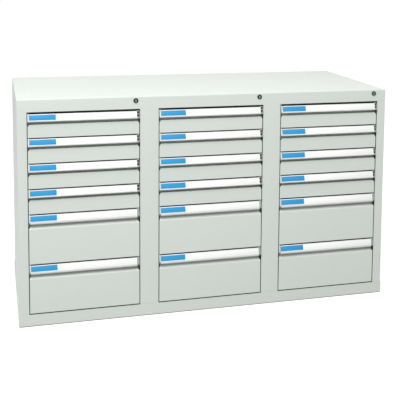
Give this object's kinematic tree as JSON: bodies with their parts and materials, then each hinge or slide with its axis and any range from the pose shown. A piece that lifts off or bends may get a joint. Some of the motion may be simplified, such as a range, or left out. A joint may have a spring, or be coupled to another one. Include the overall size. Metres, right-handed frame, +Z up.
{
  "type": "drawer cabinet",
  "caption": "Wide sheet-steel workshop drawer cabinet: equal columns of low and deep drawers with full-width grip strips, and a lock with a locking bar for each column.",
  "frame": {"origin": "centre of the cabinet's bounding box at floor level, with the drawers shut", "axes": "+X to the right seen from the front, +Y to the back, +Z up; the drawers open towards -Y"},
  "size_m": [1.536, 0.7104, 0.9],
  "materials": {
    "painted_body": "light grey powder coat, fine texture, semi-matt",
    "painted_front": "light grey powder coat, fine texture, semi-matt",
    "strip": "white, smooth; the label field at the left end is blue and the end caps are mid grey",
    "zinc": "zinc-plated sheet steel",
    "lock_black": "black, smooth",
    "lock_metal": "nickel-plated",
    "foot_plastic": "black moulded plastic",
    "guide_plastic": "natural moulded nylon"
  },
  "bodies": {
    "cabinet": {"top_cover": "painted_body", "left_end_panel": "painted_body", "right_end_panel": "painted_body", "left_partition": "painted_body", "right_partition": "painted_body", "floor_panel": "painted_body", "back_panel": "painted_body", "base_frame": "painted_body", "levelling_feet": "foot_plastic", "lock_housings": "lock_black", "bar_guides": "guide_plastic", "left_rails": "zinc", "middle_rails": "zinc", "right_rails": "zinc"},
    "left_drawer_1": {"left_drawer_1": "painted_front", "left_grip_1": "strip"},
    "left_drawer_2": {"left_drawer_2": "painted_front", "left_grip_2": "strip"},
    "left_drawer_3": {"left_drawer_3": "painted_front", "left_grip_3": "strip"},
    "left_drawer_4": {"left_drawer_4": "painted_front", "left_grip_4": "strip"},
    "left_drawer_5": {"left_drawer_5": "painted_front", "left_grip_5": "strip"},
    "left_drawer_6": {"left_drawer_6": "painted_front", "left_grip_6": "strip"},
    "left_locking_bar": {"left_locking_bar": "zinc"},
    "left_lock_plug": {"left_lock_plug": "lock_metal", "left_lock_cam": "lock_metal"},
    "middle_drawer_1": {"middle_drawer_1": "painted_front", "middle_grip_1": "strip"},
    "middle_drawer_2": {"middle_drawer_2": "painted_front", "middle_grip_2": "strip"},
    "middle_drawer_3": {"middle_drawer_3": "painted_front", "middle_grip_3": "strip"},
    "middle_drawer_4": {"middle_drawer_4": "painted_front", "middle_grip_4": "strip"},
    "middle_drawer_5": {"middle_drawer_5": "painted_front", "middle_grip_5": "strip"},
    "middle_drawer_6": {"middle_drawer_6": "painted_front", "middle_grip_6": "strip"},
    "middle_locking_bar": {"middle_locking_bar": "zinc"},
    "middle_lock_plug": {"middle_lock_plug": "lock_metal", "middle_lock_cam": "lock_metal"},
    "right_drawer_1": {"right_drawer_1": "painted_front", "right_grip_1": "strip"},
    "right_drawer_2": {"right_drawer_2": "painted_front", "right_grip_2": "strip"},
    "right_drawer_3": {"right_drawer_3": "painted_front", "right_grip_3": "strip"},
    "right_drawer_4": {"right_drawer_4": "painted_front", "right_grip_4": "strip"},
    "right_drawer_5": {"right_drawer_5": "painted_front", "right_grip_5": "strip"},
    "right_drawer_6": {"right_drawer_6": "painted_front", "right_grip_6": "strip"},
    "right_locking_bar": {"right_locking_bar": "zinc"},
    "right_lock_plug": {"right_lock_plug": "lock_metal", "right_lock_cam": "lock_metal"}
  },
  "joints": [
    {"name": "left_drawer_1_slide", "type": "slide", "parent": "cabinet", "child": "left_drawer_1", "axis": [0, -1, 0], "range_m": [0, 0.53]},
    {"name": "left_drawer_2_slide", "type": "slide", "parent": "cabinet", "child": "left_drawer_2", "axis": [0, -1, 0], "range_m": [0, 0.53]},
    {"name": "left_drawer_3_slide", "type": "slide", "parent": "cabinet", "child": "left_drawer_3", "axis": [0, -1, 0], "range_m": [0, 0.53]},
    {"name": "left_drawer_4_slide", "type": "slide", "parent": "cabinet", "child": "left_drawer_4", "axis": [0, -1, 0], "range_m": [0, 0.53]},
    {"name": "left_drawer_5_slide", "type": "slide", "parent": "cabinet", "child": "left_drawer_5", "axis": [0, -1, 0], "range_m": [0, 0.53]},
    {"name": "left_drawer_6_slide", "type": "slide", "parent": "cabinet", "child": "left_drawer_6", "axis": [0, -1, 0], "range_m": [0, 0.53]},
    {"name": "left_bar_lift", "type": "slide", "parent": "cabinet", "child": "left_locking_bar", "axis": [0, 0, 1], "range_m": [0, 0.01414]},
    {"name": "left_lock_turn", "type": "hinge", "parent": "cabinet", "child": "left_lock_plug", "pos_m": [-0.309, -0.34481, 0.8845], "axis": [0, -1, 0], "range_deg": [0, 90]},
    {"name": "middle_drawer_1_slide", "type": "slide", "parent": "cabinet", "child": "middle_drawer_1", "axis": [0, -1, 0], "range_m": [0, 0.53]},
    {"name": "middle_drawer_2_slide", "type": "slide", "parent": "cabinet", "child": "middle_drawer_2", "axis": [0, -1, 0], "range_m": [0, 0.53]},
    {"name": "middle_drawer_3_slide", "type": "slide", "parent": "cabinet", "child": "middle_drawer_3", "axis": [0, -1, 0], "range_m": [0, 0.53]},
    {"name": "middle_drawer_4_slide", "type": "slide", "parent": "cabinet", "child": "middle_drawer_4", "axis": [0, -1, 0], "range_m": [0, 0.53]},
    {"name": "middle_drawer_5_slide", "type": "slide", "parent": "cabinet", "child": "middle_drawer_5", "axis": [0, -1, 0], "range_m": [0, 0.53]},
    {"name": "middle_drawer_6_slide", "type": "slide", "parent": "cabinet", "child": "middle_drawer_6", "axis": [0, -1, 0], "range_m": [0, 0.53]},
    {"name": "middle_bar_lift", "type": "slide", "parent": "cabinet", "child": "middle_locking_bar", "axis": [0, 0, 1], "range_m": [0, 0.01414]},
    {"name": "middle_lock_turn", "type": "hinge", "parent": "cabinet", "child": "middle_lock_plug", "pos_m": [0.201, -0.34481, 0.8845], "axis": [0, -1, 0], "range_deg": [0, 90]},
    {"name": "right_drawer_1_slide", "type": "slide", "parent": "cabinet", "child": "right_drawer_1", "axis": [0, -1, 0], "range_m": [0, 0.53]},
    {"name": "right_drawer_2_slide", "type": "slide", "parent": "cabinet", "child": "right_drawer_2", "axis": [0, -1, 0], "range_m": [0, 0.53]},
    {"name": "right_drawer_3_slide", "type": "slide", "parent": "cabinet", "child": "right_drawer_3", "axis": [0, -1, 0], "range_m": [0, 0.53]},
    {"name": "right_drawer_4_slide", "type": "slide", "parent": "cabinet", "child": "right_drawer_4", "axis": [0, -1, 0], "range_m": [0, 0.53]},
    {"name": "right_drawer_5_slide", "type": "slide", "parent": "cabinet", "child": "right_drawer_5", "axis": [0, -1, 0], "range_m": [0, 0.53]},
    {"name": "right_drawer_6_slide", "type": "slide", "parent": "cabinet", "child": "right_drawer_6", "axis": [0, -1, 0], "range_m": [0, 0.53]},
    {"name": "right_bar_lift", "type": "slide", "parent": "cabinet", "child": "right_locking_bar", "axis": [0, 0, 1], "range_m": [0, 0.01414]},
    {"name": "right_lock_turn", "type": "hinge", "parent": "cabinet", "child": "right_lock_plug", "pos_m": [0.711, -0.34481, 0.8845], "axis": [0, -1, 0], "range_deg": [0, 90]}
  ],
  "couplings": [
    {"joint": "left_lock_turn", "follows": "left_bar_lift", "rad_per_m": 111},
    {"joint": "middle_lock_turn", "follows": "middle_bar_lift", "rad_per_m": 111},
    {"joint": "right_lock_turn", "follows": "right_bar_lift", "rad_per_m": 111}
  ]
}
